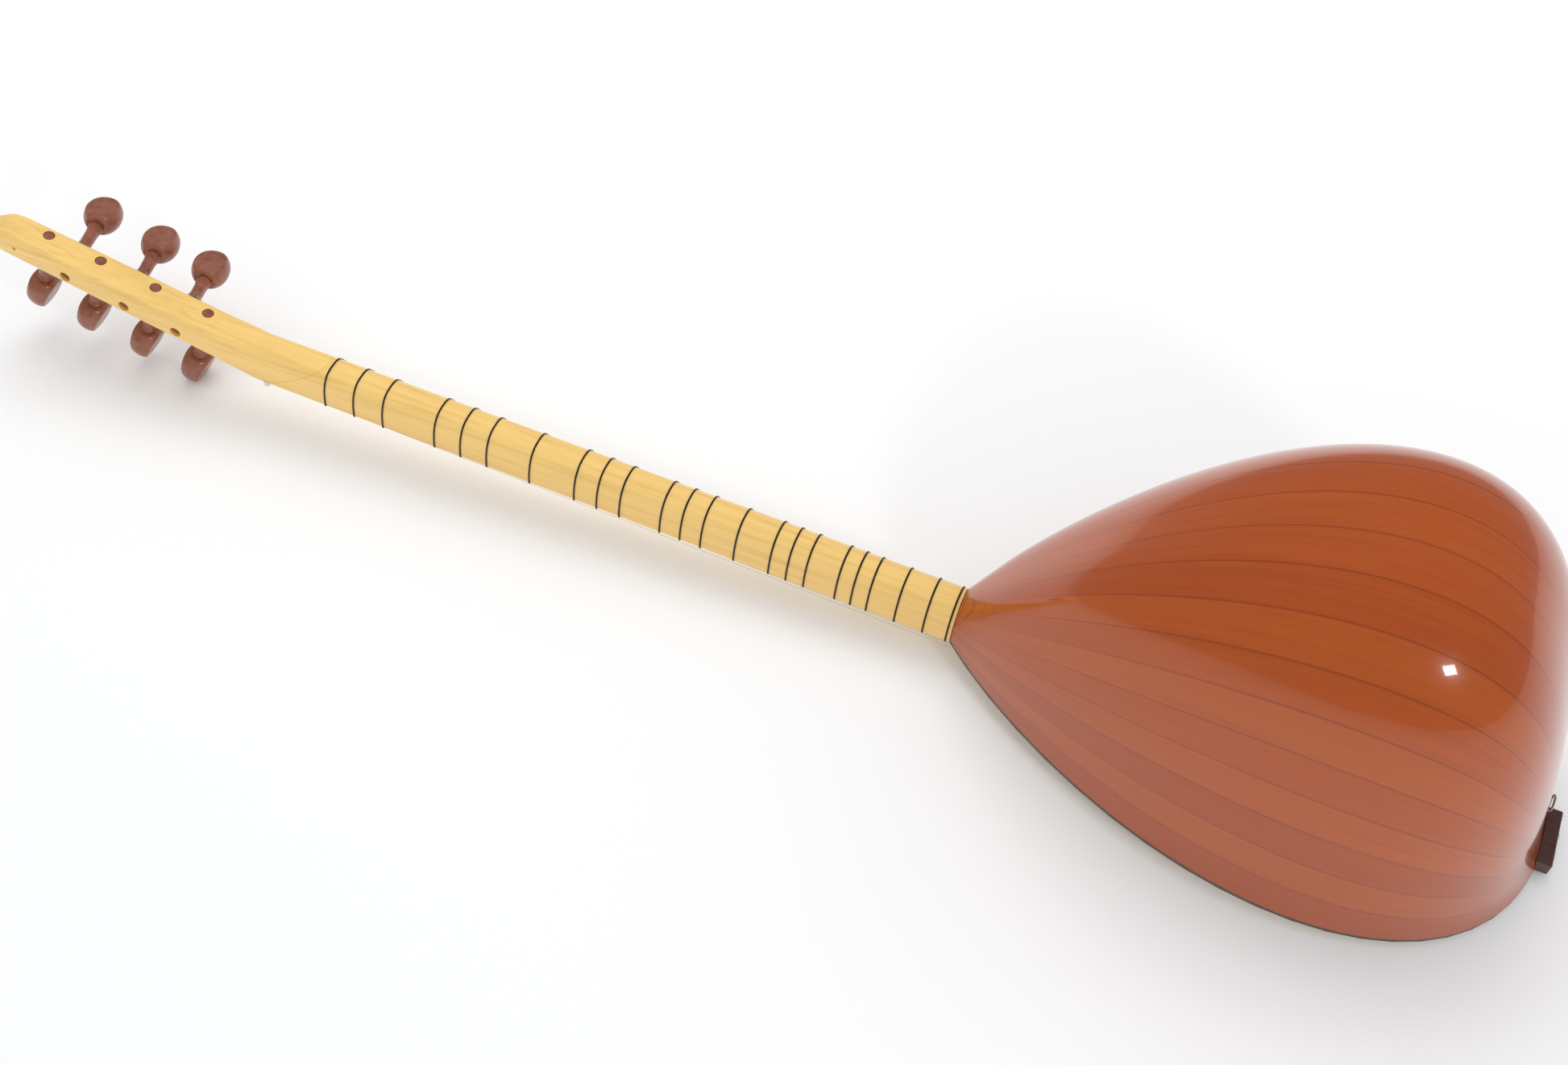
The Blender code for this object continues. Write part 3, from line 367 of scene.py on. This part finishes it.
def cut(obj, tools, keep_smooth=35):
    """Cuts hidden tools out of a piece and keeps the result as its mesh."""
    for tool in tools:
        step = obj.modifiers.new(tool.name, "BOOLEAN")
        step.solver = "EXACT"
        step.object = tool
    depsgraph = bpy.context.evaluated_depsgraph_get()
    mesh = bpy.data.meshes.new_from_object(obj.evaluated_get(depsgraph))
    obj.modifiers.clear()
    obj.data = mesh
    for tool in tools:
        bpy.data.objects.remove(tool, do_unlink=True)
    mesh.set_sharp_from_angle(angle=math.radians(keep_smooth))


def rod_tool(name, start, end, start_radius, end_radius, sides=40):
    """Cone between two points of the row frame, used as a cutting tool."""
    mesh = bpy.data.meshes.new(name)
    bm = bmesh.new()
    length = (end - start).length
    bmesh.ops.create_cone(bm, cap_ends=True, segments=sides, radius1=start_radius,
                          radius2=end_radius, depth=length)
    turn = (end - start).to_track_quat("Z", "Y").to_matrix().to_4x4()
    bmesh.ops.transform(bm, verts=bm.verts, matrix=Matrix.Translation((start + end) / 2) @ turn)
    bm.to_mesh(mesh)
    bm.free()
    tool = bpy.data.objects.new(name, mesh)
    bpy.context.collection.objects.link(tool)
    tool.hide_render = True
    return tool


def teardrop(u, rise, fall):
    """Outline that rises from 0 to 1 and falls back to 0."""
    peak = rise / (rise + fall)
    scale = peak ** rise * (1 - peak) ** fall
    return u ** rise * np.maximum(0.0, 1 - u) ** fall / scale


def teardrop_start(value, rise, fall):
    """Place on the rising side where the teardrop has a value."""
    tries = np.linspace(0, rise / (rise + fall), 20001)
    return float(np.interp(value, teardrop(tries, rise, fall), tries))


def bowl_grid(stations, turns, inset):
    """Bowl surface: a teardrop in width and in height, superellipse arches between
    them, and a tail that leans forward higher up."""
    full_width = 0.1325 - inset
    full_depth = 0.260 - inset
    width_start = teardrop_start((0.01855 - inset) / full_width, 0.84, 0.45)
    depth_start = teardrop_start((0.0295 - inset) / full_depth, 0.92, 0.49)
    s = stations[:, None]
    half = full_width * teardrop(width_start + (1 - width_start) * s, 0.84, 0.45)
    top = full_depth * teardrop(depth_start + (1 - depth_start) * s, 0.92, 0.49)
    power = 2 / (2.3 + 0.64 * smoothstep(s / 0.07))
    cosine = np.cos(turns)[None, :]
    y = half * np.sign(cosine) * np.abs(cosine) ** power
    height = top * np.abs(np.sin(turns))[None, :] ** power
    x = GAP + (0.426 - inset) * s - 0.0235 * s ** 6 * height / (height + 0.057)
    return np.stack([np.broadcast_to(x, y.shape), y, RIM + height], -1)


def arch_turns(steps):
    """Angles across an arch, closer together where the superellipse turns fast."""
    share = np.linspace(0, 1, steps + 1)
    return math.pi * (share - 0.72 * np.sin(2 * math.pi * share) / (2 * math.pi))


class LUTE_OT_bowl(bpy.types.Operator):
    """Lacquered bowl with staves, thin wall and sound hole"""

    bl_idname = "lute.bowl"
    bl_label = "Bowl"

    def execute(self, context):
        stations = np.sin(math.pi / 2 * np.linspace(0, 1, 121)) ** 1.2
        turns = arch_turns(112)
        outer = bowl_grid(stations, turns, 0.0)
        inner = bowl_grid(stations, turns, 0.004)
        rows, columns = outer.shape[:2]
        step = np.linalg.norm(np.diff(outer, axis=1), axis=2)
        along = np.concatenate([np.zeros((rows, 1)), np.cumsum(step, axis=1)], axis=1)
        along /= np.maximum(along[:, -1:], 1e-9)
        along[-1] = along[-2]
        uv = np.stack([along, np.broadcast_to(stations[:, None], along.shape)], -1).reshape(-1, 2)
        lift = rows * columns
        faces = [grid_faces(rows, columns), grid_faces(rows, columns, start=lift)[:, ::-1]]
        i = np.arange(rows - 1) * columns
        for edge in (0, columns - 1):
            a = i + edge
            faces.append(np.stack([a, a + columns, lift + a + columns, lift + a], -1))
        j = np.arange(columns - 1)
        faces.append(np.stack([j, j + 1, lift + j + 1, lift + j], -1))
        points = np.concatenate([outer.reshape(-1, 3), inner.reshape(-1, 3)])
        bowl = make_piece("bowl", points, np.concatenate(faces), "bowl_shell",
                          np.concatenate([uv, uv]))
        tail = TO_ROW @ Vector((0.36, 0.045, 0.025))
        out = TO_ROW @ Vector((0.46, 0.045, 0.025))
        cut(bowl, [rod_tool("sound_hole_tool", tail, out, 0.009, 0.009)])
        return {"FINISHED"}


def wood_section(half, front, back, curve, edge, steps=60, flat=1.0):
    """Rows of section points (y, z): flat front, rounded edges, superellipse back."""
    half, front, back, curve, edge, flat = np.broadcast_arrays(
        *[np.atleast_1d(v).astype(float)[:, None] for v in (half, front, back, curve, edge, flat)])
    turns = arch_turns(steps)[None, :]
    cosine = np.cos(turns)
    y = half * np.sign(cosine) * np.abs(cosine) ** (2 / curve)
    rise = np.minimum(1.0, flat * np.abs(np.sin(turns)) ** (2 / curve))
    z = front + edge + (back - front - edge) * rise
    corner = np.linspace(math.pi / 2, 0, 7)[None, :-1]
    right = half - edge + edge * np.cos(corner)
    low = front + edge - edge * np.sin(corner)
    return (np.concatenate([right, y, -right[:, ::-1]], 1),
            np.concatenate([low, z, low[:, ::-1]], 1))


def capped(rows, columns):
    """Faces of a row of closed rings with a cap at each end."""
    faces = grid_faces(rows, columns, True).tolist()
    faces.append(list(range(columns)))
    faces.append(list(range((rows - 1) * columns, rows * columns)))
    return faces


def neck_rows(x):
    """Neck sections at given places."""
    t = np.clip(1 + x / NECK_LENGTH, 0, 1)
    return wood_section((0.0321 + 0.005 * t) / 2, 0.0, 0.0285 + 0.004 * t, 2.8 - 0.5 * t, 0.0005)


def scarf(shift):
    """Slanted ring of the glued joint between head and neck."""
    y, z = neck_rows(np.array([-NECK_LENGTH]))
    x = -NECK_LENGTH + 0.045 * z[0] / 0.0285
    ring = []
    for i, place in enumerate(x):
        row_y, row_z = neck_rows(np.array([place]))
        ring.append((place + shift, row_y[0, i], row_z[0, i]))
    return np.array(ring)[None]


class LUTE_OT_neck(bpy.types.Operator):
    """Blond neck and bent-back head with peg holes"""

    bl_idname = "lute.neck"
    bl_label = "Neck and head"

    def execute(self, context):
        x = -NECK_LENGTH * np.linspace(0.86, 0.0, 40)
        y, z = neck_rows(x)
        body = np.stack([np.broadcast_to(x[:, None], y.shape), y, z], -1)
        tenon_y, tenon_z = wood_section(0.009, 0.006, 0.022, 8.0, 0.0005)
        ends = [np.stack([np.full_like(tenon_y, place), tenon_y, tenon_z], -1)
                for place in (0.0, 0.045)]
        points = np.concatenate([scarf(0.0), body, *ends])
        neck = make_piece("neck_wood", points, capped(*points.shape[:2]), "neck")
        neck.data.set_sharp_from_angle(angle=math.radians(40))
        ease = np.linspace(0, 1, 26)
        s = np.concatenate([np.linspace(0.003, HEAD_LENGTH - 0.032, 70),
                            HEAD_LENGTH - 0.0315 * (1 - ease) ** 1.6 - 0.00008])
        blend = smoothstep(s / 0.055)
        width = head_width(s)
        edge = np.minimum(0.0005 + 0.002 * blend, 0.3 * width)
        front = head_front(s)
        y, z = wood_section(width / 2, front, front + head_depth(s), 2.8 + 1.7 * blend, edge,
                            flat=1 + 0.06 * blend)
        body = np.stack([np.broadcast_to(-NECK_LENGTH - s[:, None], y.shape), y, z], -1)
        points = np.concatenate([scarf(-GAP), body])
        head = make_piece("head_wood", points, capped(*points.shape[:2]), "head")
        tools = []
        for name, joint in JOINTS.items():
            if "peg" not in name:
                continue
            start = Vector(joint["pos_m"])
            axis = Vector(joint["axis"])
            low = PEG_END_RADIUS - 0.02 * PEG_TAPER + GAP
            high = PEG_END_RADIUS + PEG_SHAFT * PEG_TAPER + GAP
            tools.append(rod_tool("tool_" + name, start - 0.02 * axis, start + PEG_SHAFT * axis,
                                  low, high))
        s = HEAD_LENGTH - 0.026
        side = float(head_width(s)) / 2
        height = float(head_front(s) + head_depth(s) / 2)
        mouth = TO_ROW @ Vector((-NECK_LENGTH - s, -side - 0.002, height))
        bottom = TO_ROW @ Vector((-NECK_LENGTH - s, -side + 0.006, height))
        tools.append(rod_tool("lace_tool", mouth, bottom, 0.0015, 0.0015, 24))
        low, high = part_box("nut")
        tools.append(nut_tool(low, high))
        cut(head, tools, 40)
        return {"FINISHED"}


def nut_tool(low, high):
    """Box a little larger than the nut, used as a cutting tool."""
    mesh = bpy.data.meshes.new("nut_tool")
    bm = bmesh.new()
    bmesh.ops.create_cube(bm, size=1.0)
    size = Vector(high) - Vector(low)
    scale = Matrix.Diagonal((size.x + 2 * GAP, 0.06, size.z + 2 * GAP, 1))
    centre = (Vector(low) + Vector(high)) / 2
    bmesh.ops.transform(bm, verts=bm.verts, matrix=Matrix.Translation(centre) @ scale)
    bm.to_mesh(mesh)
    bm.free()
    tool = bpy.data.objects.new("nut_tool", mesh)
    bpy.context.collection.objects.link(tool)
    tool.hide_render = True
    return tool


def peg_profile():
    """Radius and height along a turned peg: shaft, three beads and bulb."""
    heights = [0.0, 0.0, 0.0005, PEG_SHAFT]
    radii = [0.0, PEG_END_RADIUS - 0.0004, PEG_END_RADIUS, PEG_END_RADIUS + PEG_SHAFT * PEG_TAPER]
    neck = radii[-1] * 0.93
    bead = PEG_COLLAR / 3
    for i in range(3):
        share = np.linspace(0, 1, 10)[1:]
        wide = 0.0006 + 0.0002 * i
        heights += list(PEG_SHAFT + bead * (i + share))
        radii += list(neck + wide * np.sin(math.pi * share) ** 0.6)
    turn = math.pi * (0.16 + 0.84 * np.linspace(0, 1, 60)[1:])
    knob = PEG_LENGTH - PEG_SHAFT - PEG_COLLAR
    heights += list(PEG_LENGTH - knob * (1 + np.cos(turn)) / 1.87)
    radii += list(0.0145 * np.sin(turn).clip(0) ** 0.8)
    radii[-1] = 0.0
    return np.array(radii), np.array(heights)


class LUTE_OT_pegs(bpy.types.Operator):
    """Seven turned pegs with flattened bulbs"""

    bl_idname = "lute.pegs"
    bl_label = "Pegs"

    def execute(self, context):
        radii, heights = peg_profile()
        turn = 2 * math.pi * (np.arange(72) + 0.5) / 72
        x = radii[:, None] * np.cos(turn)
        y = radii[:, None] * np.sin(turn)
        shoulder = PEG_SHAFT + PEG_COLLAR
        knob = PEG_LENGTH - shoulder
        slope = 0.0045 / knob
        limit = 0.009 - slope * (heights - shoulder - 0.2 * knob)
        limit = np.where(heights > shoulder, limit, 1.0)[:, None]
        excess = np.maximum(0.0, np.abs(y) - limit)
        crown = 0.0005 * np.clip(excess / 0.003, 0, 1)
        y = np.sign(y) * (np.minimum(np.abs(y), limit) + np.where(excess > 0, crown, 0))
        z = np.broadcast_to(heights[:, None], x.shape)
        local = np.stack([x, y, z], -1).reshape(-1, 3)
        faces = grid_faces(len(radii), len(turn), True)
        for name, joint in JOINTS.items():
            if "peg" not in name:
                continue
            peg = name.replace("_turn", "")
            axis = TO_ROW.to_3x3().inverted() @ Vector(joint["axis"])
            normal = Vector((1, 0, 0)) if peg.startswith("front") else Vector((0, 0, 1))
            normal = (normal - normal.dot(axis) * axis).normalized()
            basis = np.array([normal.cross(axis), normal, axis])
            origin = np.array(TO_ROW.inverted() @ Vector(joint["pos_m"]))
            made = make_piece(peg + "_wood", local @ basis + origin, faces, peg)
            made.data.set_sharp_from_angle(angle=math.radians(28))
        return {"FINISHED"}


class LUTE_OT_frets(bpy.types.Operator):
    """Tied frets: three turns of line and a knot each"""

    bl_idname = "lute.frets"
    bl_label = "Frets"

    def execute(self, context):
        line = context.scene.lute_finish.line
        for name, joint in JOINTS.items():
            if not name.startswith("fret"):
                continue
            node_name = name.replace("_slide", "")
            low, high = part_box(node_name)
            middle = (Vector(low) + Vector(high)) / 2
            place = (TO_ROW.inverted() @ middle).x
            points = []
            faces = []
            for turn in (-1, 0, 1):
                loop = fret_loop(place + turn * 1.9 * line, GAP + line)
                ring, quads = tube_loop(loop, line)
                faces.append(quads + sum(len(p) for p in points))
                points.append(ring)
            knot, quads = fret_knot(place, line)
            faces.append(quads + sum(len(p) for p in points))
            points.append(knot)
            made = make_piece(node_name + "_line", np.concatenate(points), np.concatenate(faces),
                              node_name)
            made.data.set_sharp_from_angle(angle=math.radians(60))
        return {"FINISHED"}


def fret_loop(x, grow):
    """Closed loop round the neck at a clearance."""
    t = min(1.0, max(0.0, 1 + x / NECK_LENGTH))
    y, z = wood_section((0.0321 + 0.005 * t) / 2 + grow, -grow, 0.0285 + 0.004 * t + grow,
                        2.8 - 0.5 * t, 0.0008)
    return np.stack([np.full(y.shape[1], x), y[0], z[0]], -1)


def tube_loop(loop, radius, sides=8):
    """Round tube along a closed loop that lies in one plane across X."""
    step = np.roll(loop, -1, 0) - np.roll(loop, 1, 0)
    step /= np.linalg.norm(step, axis=1)[:, None]
    out = np.cross(step, np.array([1.0, 0, 0]))
    roll = 2 * math.pi * np.arange(sides) / sides
    ring = (loop[:, None] + radius * (np.cos(roll)[None, :, None] * out[:, None]
            + np.sin(roll)[None, :, None] * np.array([1.0, 0, 0])))
    count = len(loop)
    i = np.arange(count)[:, None]
    j = np.arange(sides)[None, :]
    quads = np.stack(np.broadcast_arrays(i * sides + j, i * sides + (j + 1) % sides,
                                         (i + 1) % count * sides + (j + 1) % sides,
                                         (i + 1) % count * sides + j), -1)
    return ring.reshape(-1, 3), quads.reshape(-1, 4)


def fret_knot(x, line):
    """Small knot on the far shoulder of the neck."""
    loop = fret_loop(x, GAP + 2.6 * line)
    centre = loop[6 + 17]
    turn = np.linspace(0, math.pi, 9)
    roll = 2 * math.pi * np.arange(12) / 12
    size = np.array([0.0010, 0.0011, 0.0008])
    unit = np.stack([np.sin(turn)[:, None] * np.cos(roll), np.sin(turn)[:, None] * np.sin(roll),
                     np.broadcast_to(np.cos(turn)[:, None], (9, 12))], -1)
    return (centre + size * unit).reshape(-1, 3), grid_faces(9, 12, True)


class LUTE_OT_fittings(bpy.types.Operator):
    """Finishes of the front plate, binding, nut, bridge, tailpiece, eye and strings"""

    bl_idname = "lute.fittings"
    bl_label = "Fittings"

    def execute(self, context):
        looks = finishes()
        for name, obj in frame["nodes"].items():
            if not obj.material_slots:
                obj.data.materials.append(None)
            for place in obj.material_slots:
                place.material = looks[SLOT_OF[name]]
        return {"FINISHED"}


# Stage

def area_light(name, place, target, size, power, colour, mirrored=True):
    """Soft rectangular lamp that points at a place."""
    data = bpy.data.lights.new(name, "AREA")
    data.shape = "RECTANGLE"
    data.size, data.size_y = size
    data.energy = power
    data.color = colour
    lamp = bpy.data.objects.new(name, data)
    bpy.context.collection.objects.link(lamp)
    lamp.location = place
    lamp.visible_glossy = mirrored
    lamp.rotation_mode = "QUATERNION"
    lamp.rotation_quaternion = (Vector(target) - Vector(place)).to_track_quat("-Z", "Y")


class LUTE_OT_stage(bpy.types.Operator):
    """Floor, world, lamps and camera"""

    bl_idname = "lute.stage"
    bl_label = "Stage"

    def execute(self, context):
        look = context.scene.lute_stage
        half = look.floor / 2
        mesh = bpy.data.meshes.new("floor")
        mesh.from_pydata([(-half, -half, 0), (half, -half, 0), (half, half, 0), (-half, half, 0)],
                         [], [(0, 1, 2, 3)])
        floor = bpy.data.objects.new("floor", mesh)
        bpy.context.collection.objects.link(floor)
        made, tree, shader = start_material("floor_paper", (0.97, 0.972, 0.975), 0.9)
        shader.inputs["Specular IOR Level"].default_value = 0.0
        mesh.materials.append(made)
        world = bpy.data.worlds.new("white_room")
        context.scene.world = world
        world.use_nodes = True
        tree = world.node_tree
        ground = tree.nodes["Background"]
        ground.inputs["Color"].default_value = (0.97, 0.985, 1.0, 1)
        ground.inputs["Strength"].default_value = look.world
        seen = node(tree, "ShaderNodeBackground")
        seen.inputs["Color"].default_value = (1, 1, 1, 1)
        path = node(tree, "ShaderNodeLightPath")
        mirrored = node(tree, "ShaderNodeBackground", Color=(0.75, 0.86, 1.0, 1), Strength=0.30)
        both = node(tree, "ShaderNodeMixShader")
        tree.links.new(path.outputs["Is Glossy Ray"], both.inputs["Fac"])
        tree.links.new(ground.outputs["Background"], both.inputs[1])
        tree.links.new(mirrored.outputs["Background"], both.inputs[2])
        mix = node(tree, "ShaderNodeMixShader")
        tree.links.new(path.outputs["Is Camera Ray"], mix.inputs["Fac"])
        tree.links.new(both.outputs["Shader"], mix.inputs[1])
        tree.links.new(seen.outputs["Background"], mix.inputs[2])
        tree.links.new(mix.outputs["Shader"], tree.nodes["World Output"].inputs["Surface"])
        area_light("key", (-0.5, 0.9, 2.2), (0.1, 0, 0), (2.2, 1.4), look.key,
                   (1.0, 0.99, 0.97), False)
        area_light("side", (1.6, -1.2, 1.3), (0.3, 0, 0.1), (0.30, 0.22), look.key * 0.35,
                   (0.95, 0.97, 1.0))
        data = bpy.data.cameras.new("photo_camera")
        data.sensor_width = 36.0
        data.lens = CAMERA_LENS
        camera = bpy.data.objects.new("photo_camera", data)
        bpy.context.collection.objects.link(camera)
        yaw, pitch, roll = (math.radians(v) for v in (CAMERA_YAW, CAMERA_PITCH, CAMERA_ROLL))
        ahead = Vector((-math.sin(yaw) * math.cos(pitch), math.cos(yaw) * math.cos(pitch),
                        -math.sin(pitch)))
        level = Vector((math.cos(yaw), math.sin(yaw), 0))
        above = level.cross(ahead)
        right = math.cos(roll) * level + math.sin(roll) * above
        above = right.cross(ahead)
        pose = Matrix((right, above, -ahead)).transposed().to_4x4()
        pose.translation = Vector(CAMERA_PLACE)
        camera.matrix_world = TO_ROW @ pose
        context.scene.camera = camera
        context.scene.view_settings.view_transform = "Standard"
        return {"FINISHED"}


OPERATORS = (LUTE_OT_fittings, LUTE_OT_bowl, LUTE_OT_neck, LUTE_OT_pegs, LUTE_OT_frets,
             LUTE_OT_stage)


class LUTE_PT_panel(bpy.types.Panel):
    """Sidebar panel that lists the pieces and their settings"""

    bl_label = "Lute"
    bl_idname = "LUTE_PT_panel"
    bl_space_type = "VIEW_3D"
    bl_region_type = "UI"
    bl_category = "Lute"

    def draw(self, context):
        for group in (context.scene.lute_finish, context.scene.lute_stage):
            for name in group.bl_rna.properties.keys():
                if name not in ("rna_type", "name"):
                    self.layout.prop(group, name)
        for operator in OPERATORS:
            self.layout.operator(operator.bl_idname)


CLASSES = (LuteFinish, LuteStage, *OPERATORS, LUTE_PT_panel)


def register():
    """Registers the classes and the scene's settings."""
    for made in CLASSES:
        bpy.utils.register_class(made)
    bpy.types.Scene.lute_finish = bpy.props.PointerProperty(type=LuteFinish)
    bpy.types.Scene.lute_stage = bpy.props.PointerProperty(type=LuteStage)


def unregister():
    """Removes the settings and the classes."""
    del bpy.types.Scene.lute_stage
    del bpy.types.Scene.lute_finish
    for made in reversed(CLASSES):
        bpy.utils.unregister_class(made)


def main():
    """Builds every piece and the stage."""
    register()
    bpy.ops.lute.fittings()
    bpy.ops.lute.bowl()
    bpy.ops.lute.neck()
    bpy.ops.lute.pegs()
    bpy.ops.lute.frets()
    bpy.ops.lute.stage()


if __name__ == "__main__":
    main()
